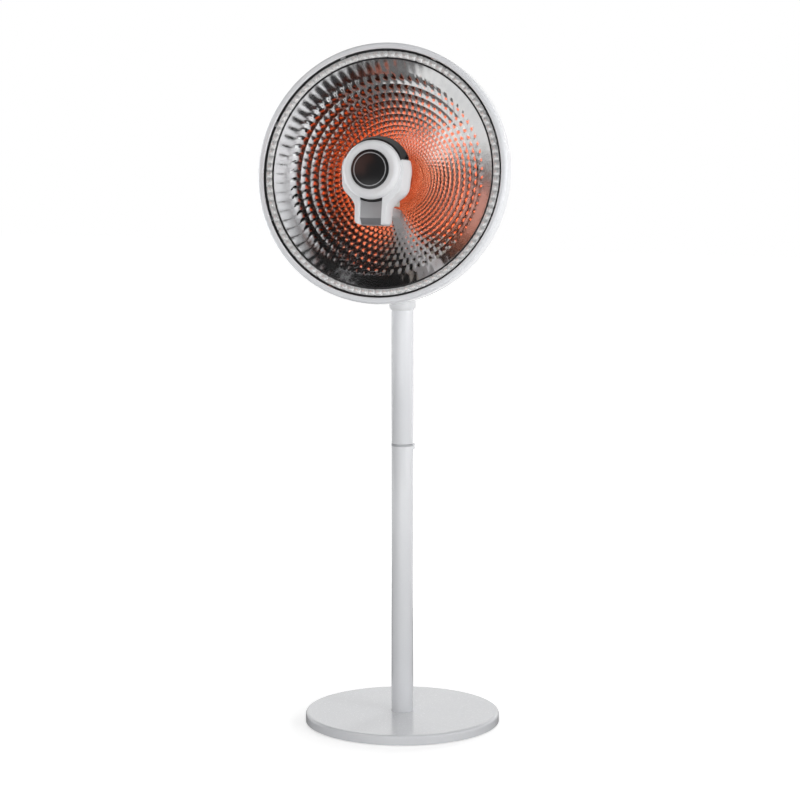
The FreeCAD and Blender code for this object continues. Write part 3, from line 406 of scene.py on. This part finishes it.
def mirrorPieces():
    look = mirrorBowl
    split = look["split"]
    columns = look["cells"] * split
    made = []
    hub = [look["holeRadius"], look["seatRadius"], *look["hubRings"], look["hubRadius"]]
    made.append(polarGrid("mirrorHub", columns, onBowl(hub), noLift))
    ratio = (look["facetRadius"] / look["hubRadius"]) ** (1.0 / look["facetRows"])
    steps = look["facetRows"] * split
    radii = [look["hubRadius"] * ratio ** (i / split) for i in range(steps + 1)]

    def pillow(column, row):
        lane = min(row // split, look["facetRows"] - 1)
        shift = split // 2 if lane % 2 else 0
        size = radii[row] * 2 * math.pi / look["cells"]
        rise = look["pillow"][0] + (look["pillow"][1] - look["pillow"][0]) * row / steps
        return rise * size * bump((column + shift) / split) * bump(row / split)

    made.append(polarGrid("mirrorFacets", columns, onBowl(radii), pillow))
    band = evenSteps(look["facetRadius"], look["edgeRadius"], look["bandRows"])

    def flute(column, row):
        inside = 0 < row < look["bandRows"]
        return look["bandFlutes"] * bump(column / split) if inside else 0.0

    made.append(polarGrid("mirrorBand", columns, onBowl(band), flute))
    edge, flat = look["edgeRadius"], look["edgeDepth"]
    low, high = look["beadRadii"]
    line = [(edge, flat), (edge + look["lineLip"], flat),
            ((edge + low) / 2 + look["lineShift"], flat + look["lineDepth"]), (low, flat)]
    made.append(polarGrid("mirrorLine", columns, line, noLift))
    beadRings = [(radius, flat) for radius in evenSteps(low, high, look["beadRows"])]

    def bead(column, row):
        along = look["beadFloor"] + (1.0 - look["beadFloor"]) * bump(column / look["beadColumns"])
        return look["beadRise"] * bump(row / look["beadRows"]) * along

    made.append(polarGrid("mirrorBeads", look["beads"] * look["beadColumns"], beadRings, bead))
    groove = [(high, flat), (look["grooveRadius"], look["grooveDepth"]),
              (look["flangeRadius"], look["grooveDepth"])]
    made.append(polarGrid("mirrorGroove", columns, groove, noLift))
    return made


def buildMirror():
    look = mirrorBowl
    made = mirrorPieces()
    for part in made:
        finish = look["finishes"].get(part.name, finishes["mirror_aluminium"])
        part.data.materials.append(finish)
    piece = joinPieces(made, "mirrorBowl")
    activate(piece)
    mergeDoubles()
    bpy.ops.mesh.normals_make_consistent(inside=False)
    bpy.ops.object.mode_set(mode="OBJECT")
    if piece.data.polygons[0].normal.y > 0:  # the bright side looks to the front
        piece.data.flip_normals()
    wall = piece.modifiers.new("sheet", "SOLIDIFY")
    wall.thickness = look["sheet"] * mm
    wall.offset = -1
    applyModifiers(piece)
    piece.data.transform(dishMatrix)
    activate(piece)
    bpy.ops.object.shade_smooth_by_angle(angle=math.radians(look["smoothAngle"]))
    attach(piece, "head")
    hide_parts("reflector")
    return piece


mirror = buildMirror()
print("mirror facets:", len(mirror.data.polygons))


# forms of the hood and the lamp cup
hoodSkirt = {"backEdge": -15.1, "reach": 0.2, "facing": 0.95, "longer": 8.0}


def lengthenSkirt(piece):
    # the hood's side wall goes further back
    look = hoodSkirt
    for face in piece.data.polygons:
        onEdge = abs(dishSpot(face.center).y - look["backEdge"]) < look["reach"]
        face.select = onEdge and dishFacing(face.normal).y > look["facing"]
    step = stepBack(look["longer"])
    bpy.ops.object.mode_set(mode="EDIT")
    bpy.ops.mesh.select_mode(type="FACE")
    bpy.ops.mesh.extrude_region_move(TRANSFORM_OT_translate={"value": step})
    bpy.ops.object.mode_set(mode="OBJECT")


hoodShoulder = {"top": -8.0, "foot": -56.0, "bulge": 5.5, "inside": 17.0}


def widenShoulders(piece):
    # straight shoulders between the round head and the neck
    look = hoodShoulder
    for vertex in piece.data.vertices:
        spot = dishSpot(vertex.co)
        share = (spot.z - look["top"]) / (look["foot"] - look["top"])
        if 0.0 < share < 1.0 and abs(spot.x) > look["inside"]:
            spot.x += math.copysign(look["bulge"] * math.sin(math.pi * share) ** 2, spot.x)
            vertex.co = fromDish(spot)


hoodCrown = {"radii": (41.8, 62.0), "halfAngle": 70.0, "front": -37.0, "back": -31.0, "steps": 40}


def cutCrown(piece):
    # the plate stops at the ring over the vent, so the dark cup shows above it
    look = hoodCrown
    inner, outer = look["radii"]
    clearSelection()
    bpy.ops.mesh.primitive_grid_add(x_subdivisions=look["steps"], y_subdivisions=1, size=2)
    cutter = namePiece("crownCutter")
    for vertex in cutter.data.vertices:
        angle = math.radians(90.0 + look["halfAngle"] * vertex.co.x)
        radius = inner if vertex.co.y < 0 else outer
        vertex.co = fromDish((radius * math.cos(angle), look["front"], radius * math.sin(angle)))
    activate(cutter)
    step = stepBack(look["back"] - look["front"])
    bpy.ops.object.mode_set(mode="EDIT")
    bpy.ops.mesh.select_all(action="SELECT")
    bpy.ops.mesh.extrude_region_move(TRANSFORM_OT_translate={"value": step})
    bpy.ops.mesh.select_all(action="SELECT")
    bpy.ops.mesh.normals_make_consistent(inside=False)
    bpy.ops.object.mode_set(mode="OBJECT")
    cut = piece.modifiers.new("crown", "BOOLEAN")
    cut.operation = "DIFFERENCE"
    cut.solver = "EXACT"
    cut.object = cutter
    applyModifiers(piece)
    bpy.data.objects.remove(cutter)
    activate(piece)


cupCrown = {"inside": 38.0, "limit": 49.5, "higher": (2.0, 7.0), "depths": (-33.0, -15.0),
            "halfAngle": 68.0, "fade": 10.0}


def raiseCup(piece):
    # the cup stands higher where the hood is open
    look = cupCrown
    front, back = look["depths"]
    least, most = look["higher"]
    for vertex in piece.data.vertices:
        spot = dishSpot(vertex.co)
        radius = math.hypot(spot.x, spot.z)
        angle = math.degrees(math.atan2(abs(spot.x), spot.z))
        if radius > look["inside"] and angle < look["halfAngle"]:
            share = min(1.0, (look["halfAngle"] - angle) / look["fade"])
            deep = min(1.0, max(0.0, (spot.y - front) / (back - front)))
            higher = least + (most - least) * deep
            grown = max(radius, min(radius + higher * share, look["limit"]))
            spot.x *= grown / radius
            spot.z *= grown / radius
            vertex.co = fromDish(spot)


# moulded and pressed pieces get their small edge rounds
edgeRounds = {
    "hood_shell": 0.7, "hood_ring": 0.5, "neck_collar": 0.6, "tilt_knob": 0.9, "clamp_knob": 0.5,
    "selector_knob": 0.7, "rear_cover": 0.5, "rear_housing": 0.5, "hood_arm": 0.5,
    "rocker_frame": 0.3, "rocker_button": 0.4, "cable_gland": 0.5, "lamp_holder": 0.6,
    "lamp_cup": 0.3, "swivel_carrier": 0.6, "badge": 0.3, "tube_bush": 0.3, "upper_sleeve": 0.3,
    "lower_tube": 0.3, "rim_clips": 0.2}
edgeBevel = {"segments": 2, "flat": 0.6, "sharp": 35.0, "smooth": 32.0}  # angles in degrees
behaviour = frame["record"]["behaviour"]
bodyOf = {node: body for body, members in behaviour["bodies"].items() for node in members}


def roundEdges(node, width):
    activate(nodes[node])
    bpy.ops.object.duplicate()
    piece = namePiece(node + "Rounded")
    piece.parent = None
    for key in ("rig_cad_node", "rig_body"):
        del piece[key]
    mergeDoubles()
    bpy.ops.mesh.customdata_custom_splitnormals_clear()
    bpy.ops.mesh.dissolve_limited(angle_limit=math.radians(edgeBevel["flat"]))
    bpy.ops.mesh.select_all(action="DESELECT")
    bpy.ops.object.mode_set(mode="OBJECT")
    if node == "hood_shell":
        lengthenSkirt(piece)
        widenShoulders(piece)
        cutCrown(piece)
    if node == "lamp_cup":
        raiseCup(piece)
    bevel = piece.modifiers.new("edgeRound", "BEVEL")
    bevel.width = width * mm
    bevel.segments = edgeBevel["segments"]
    bevel.limit_method = "ANGLE"
    bevel.angle_limit = math.radians(edgeBevel["sharp"])
    applyModifiers(piece)
    bpy.ops.object.shade_smooth_by_angle(angle=math.radians(edgeBevel["smooth"]))
    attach(piece, bodyOf[node])
    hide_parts(node)
    return piece


rounded = {node: roundEdges(node, width) for node, width in edgeRounds.items()}
print("rounded pieces:", len(rounded))

# painted shade on the hood's sunk neck: a grey plate, with darker painted shade on its downward
# slope
neckShadePaint = {
    "halfWidth": 16.5, "plate": -34.0, "top": -30.0, "flat": -0.9, "slope": -0.3,
    "grey": grainedFinish("neckPaintedShade", {
        "tones": ((0.33, 0.33, 0.34), (0.36, 0.36, 0.37)), "patch": 40.0, "grain": 1800.0,
        "roughness": (0.35, 0.45), "bump": 0.05, "depth": 0.0002}),
    "dark": grainedFinish("neckPaintedDeepShade", {
        "tones": ((0.2, 0.2, 0.21), (0.22, 0.22, 0.23)), "patch": 40.0, "grain": 1800.0,
        "roughness": (0.35, 0.45), "bump": 0.05, "depth": 0.0002})}


def paintNeckShade(piece):
    look = neckShadePaint
    piece.data.materials.append(look["grey"])
    piece.data.materials.append(look["dark"])
    # forward-facing faces of the sunk plate get the painted grey shade, faces tilted forward and
    # down the darker painted shade
    for face in piece.data.polygons:
        spot, facing = dishSpot(face.center), dishFacing(face.normal)
        behindPlate = spot.y > look["plate"] and spot.z < look["top"]
        if behindPlate and abs(spot.x) < look["halfWidth"]:
            if facing.y < look["flat"]:
                face.material_index = 1
            elif facing.y < look["slope"] and facing.z < look["slope"]:
                face.material_index = 2


# the cup's inside: a stain, and the lamp's glow painted on as emission
cupStainAndPaintedGlow = {
    "floor": -33.0, "floorEdge": -20.0, "radius": 43.0, "inward": -0.3, "backward": 0.5,
    "glow": (1.0, 0.1, 0.006), "strength": 1.35, "edgeStrength": 0.0, "reach": 27.0,
    "tones": ((0.05, 0.045, 0.04), (0.08, 0.075, 0.07)), "stain": 90.0, "roughness": (0.4, 0.55)}


def cupStainAndPaintedGlowFinish(look):
    # painted glow of the lamp on the cup's inside, an emission strongest round the axis, over a
    # stained dark base
    material, tree, principled, coords = shaderStart("cupStainAndPaintedGlow")
    away = distanceFrom(tree, coords, fromDish((0.0, look["floor"], 0.0)))
    glow = mapRange(tree, away, look["strength"], look["edgeStrength"], 0.0, look["reach"] * mm)
    tree.links.new(glow, principled.inputs["Emission Strength"])
    principled.inputs["Emission Color"].default_value = (*look["glow"], 1)
    stain = noise(tree, coords, look["stain"])
    tree.links.new(mottled(tree, stain, look["tones"]), principled.inputs["Base Color"])
    tree.links.new(mapRange(tree, stain, *look["roughness"]), principled.inputs["Roughness"])
    return material


def paintCupStainAndGlow(piece):
    look = cupStainAndPaintedGlow
    piece.data.materials.append(cupStainAndPaintedGlowFinish(look))
    # the inward-facing wall and the floor of the cup get the stained finish with painted glow
    for face in piece.data.polygons:
        spot, facing = dishSpot(face.center), dishFacing(face.normal)
        away = math.hypot(spot.x, spot.z)
        inward = facing.x * spot.x + facing.z * spot.z < look["inward"] * away
        onFloor = away < look["radius"] and spot.y < look["floorEdge"]
        if inward or (onFloor and facing.y > look["backward"]):
            face.material_index = 1


paintNeckShade(rounded["hood_shell"])
paintCupStainAndGlow(rounded["lamp_cup"])
print("hood neck and lamp cup painted")


# floor, light and camera
studio = {"floorSize": 14.0, "floorTone": 0.8, "floorRoughness": 0.9, "worldLight": 0.36,
          "lift": (0.5, 0.72), "liftReach": (0.15, 0.5)}


def whiteRays(tree):
    # 1 for the rays that meet the white room: to the camera, off metal and through glass
    path = tree.nodes.new("ShaderNodeLightPath").outputs
    seen = mathNode(tree, "MAXIMUM", path["Is Camera Ray"], path["Is Glossy Ray"])
    return mathNode(tree, "MAXIMUM", seen, path["Is Transmission Ray"])


def buildFloor():
    clearSelection()
    bpy.ops.mesh.primitive_plane_add(size=studio["floorSize"], location=(0, 0, 0))
    floor = namePiece("floor")
    material, tree, principled, coords = shaderStart("paleFloor")
    principled.inputs["Base Color"].default_value = (*[studio["floorTone"]] * 3, 1)
    principled.inputs["Roughness"].default_value = studio["floorRoughness"]
    principled.inputs["Specular IOR Level"].default_value = 0.0
    # the open floor shows white, and the base still leaves its shadow
    away = distanceFrom(tree, coords, Vector((0.0, 0.0, 0.0)))
    lift = mapRange(tree, away, *studio["lift"], *studio["liftReach"])
    glow = mathNode(tree, "MULTIPLY", whiteRays(tree), lift)
    principled.inputs["Emission Color"].default_value = (1, 1, 1, 1)
    tree.links.new(glow, principled.inputs["Emission Strength"])
    floor.data.materials.append(material)


def buildWorld():
    world = bpy.data.worlds.new("studio")
    bpy.context.scene.world = world
    world.use_nodes = True
    tree = world.node_tree
    background = tree.nodes["Background"]
    light = mapRange(tree, whiteRays(tree), studio["worldLight"], 1.0, start=0.0, end=1.0)
    background.inputs["Color"].default_value = (1, 1, 1, 1)
    tree.links.new(light, background.inputs["Strength"])


def putInScene(name, data):
    thing = bpy.data.objects.new(name, data)
    bpy.context.scene.collection.objects.link(thing)
    return thing


def turnAlong(direction):
    return direction.to_track_quat("-Z", "Y").to_euler()


softboxes = {
    "keyRight": {"place": (1.7, -0.5, 1.0), "aim": (0, -0.05, 0.85), "size": 0.7,
                 "power": 1.85, "spread": 60.0},
    "sideRight": {"place": (2.2, -0.9, 0.8), "aim": (0, 0, 0.5), "size": 1.2,
                  "power": 4.5, "spread": 140.0},
    "front": {"place": (0.6, -2.9, 0.45), "aim": (0, 0, 0.35), "size": 1.0,
              "power": 6.0, "spread": 90.0},
    "fillLeft": {"place": (-1.6, -1.0, 1.0), "aim": (0, -0.05, 0.85), "size": 0.7,
                 "power": 0.5, "spread": 60.0},
    "edgeLeft": {"place": (-1.1, 0.0, 0.66), "aim": (0, -0.12, 0.81), "size": 0.1,
                 "power": 0.28, "spread": 30.0},
    "back": {"place": (-0.9, 2.6, 1.5), "aim": (0, 0, 0.6), "size": 1.6,
             "power": 11.0, "spread": 140.0},
    "rear": {"place": (0.6, 2.3, 0.8), "aim": (0, 0, 0.55), "size": 0.6,
             "power": 2.6, "spread": 60.0},
    "top": {"place": (0.0, -0.2, 2.8), "aim": (0, 0, 0.3), "size": 1.4,
            "power": 2.0, "spread": 140.0}}


def buildSoftboxes():
    for name, look in softboxes.items():
        lamp = bpy.data.lights.new(name, "AREA")
        lamp.size = look["size"]
        lamp.energy = look["power"]
        lamp.spread = math.radians(look["spread"])
        box = putInScene(name, lamp)
        box.location = look["place"]
        box.rotation_euler = turnAlong(Vector(look["aim"]) - Vector(look["place"]))
        box.visible_glossy = False


# dark, pale and warm flags round the room, which only reflections show
flags = {
    "ceiling": {"size": (9.0, 9.0), "place": (0.0, -1.0, 2.9), "turn": (0.0, 0.0, 0.0),
                "tone": (0.01, 0.01, 0.01)},
    "ground": {"size": (5.0, 2.45), "place": (0.0, -0.625, 0.001), "turn": (0.0, 0.0, 0.0),
               "tone": (0.14, 0.14, 0.14)},
    "apron": {"size": (7.0, 2.5), "place": (0.0, -3.1, 0.02), "turn": (0.0, 0.0, 0.0),
              "tone": (0.85, 0.85, 0.85)},
    "skirt": {"size": (7.0, 0.95), "place": (0.6, -4.4, 0.475), "turn": (90.0, 0.0, 0.0),
              "tone": (0.95, 0.94, 0.92)},
    "front": {"size": (7.0, 2.2), "place": (0.6, -4.4, 2.05), "turn": (90.0, 0.0, 0.0),
              "tone": (0.015, 0.015, 0.015)},
    "left": {"size": (5.0, 2.6), "place": (-3.4, -2.0, 1.75), "turn": (90.0, 0.0, -70.0),
             "tone": (0.03, 0.03, 0.03)},
    "warm": {"size": (1.4, 1.1), "place": (-1.8, -2.4, 1.8), "turn": (90.0, 0.0, -37.0),
             "tone": (0.95, 0.45, 0.36)},
    "warmHigh": {"size": (1.7, 1.4), "place": (-2.0, -3.7, 2.8), "turn": (0.0, 0.0, 0.0),
                 "tone": (0.9, 0.3, 0.17)}}


def buildFlags():
    for name, look in flags.items():
        clearSelection()
        turn = [math.radians(angle) for angle in look["turn"]]
        bpy.ops.mesh.primitive_plane_add(size=1, location=look["place"], rotation=turn)
        flag = namePiece(name + "Flag")
        flag.scale = (*look["size"], 1.0)
        bpy.ops.object.transform_apply(location=True, rotation=True, scale=True)
        material, _, principled, _ = shaderStart(name + "Flag")
        principled.inputs["Base Color"].default_value = (0, 0, 0, 1)
        principled.inputs["Specular IOR Level"].default_value = 0.0
        principled.inputs["Emission Color"].default_value = (*look["tone"], 1)
        principled.inputs["Emission Strength"].default_value = 1.0
        flag.data.materials.append(material)
        flag.visible_camera = False
        flag.visible_diffuse = False
        flag.visible_shadow = False
        flag.visible_transmission = False


lampLight = {"place": (0.0, 26.0, 0.0), "radius": 26.0, "tone": (1.0, 0.16, 0.015),
             "power": 0.06}


def buildLampLight():
    lamp = bpy.data.lights.new("lampGlow", "POINT")
    lamp.shadow_soft_size = lampLight["radius"] * mm
    lamp.energy = lampLight["power"]
    lamp.color = lampLight["tone"]
    glow = putInScene("lampGlow", lamp)
    glow.location = fromDish(lampLight["place"])
    glow.visible_glossy = False
    glow.parent = frame["bodies"]["head"]


shot = {"distance": 4.0, "azimuth": 17.974, "elevation": 8.615, "focal": 2764.0, "side": -0.0035,
        "height": 0.4765, "imageWidth": 800, "sensor": 36.0}


def buildCamera():
    turn, rise = math.radians(shot["azimuth"]), math.radians(shot["elevation"])
    aim = Vector((shot["side"] * math.cos(turn), shot["side"] * math.sin(turn), shot["height"]))
    away = Vector((math.sin(turn) * math.cos(rise), -math.cos(turn) * math.cos(rise),
                   math.sin(rise)))
    lens = bpy.data.cameras.new("shot")
    lens.sensor_width = shot["sensor"]
    lens.lens = shot["focal"] * shot["sensor"] / shot["imageWidth"]
    camera = putInScene("shot", lens)
    camera.location = aim + away * shot["distance"]
    camera.rotation_euler = turnAlong(-away)
    bpy.context.scene.camera = camera


buildFloor()
buildWorld()
buildSoftboxes()
buildFlags()
buildLampLight()
buildCamera()
bpy.context.scene.view_settings.view_transform = "Standard"
print("studio ready")
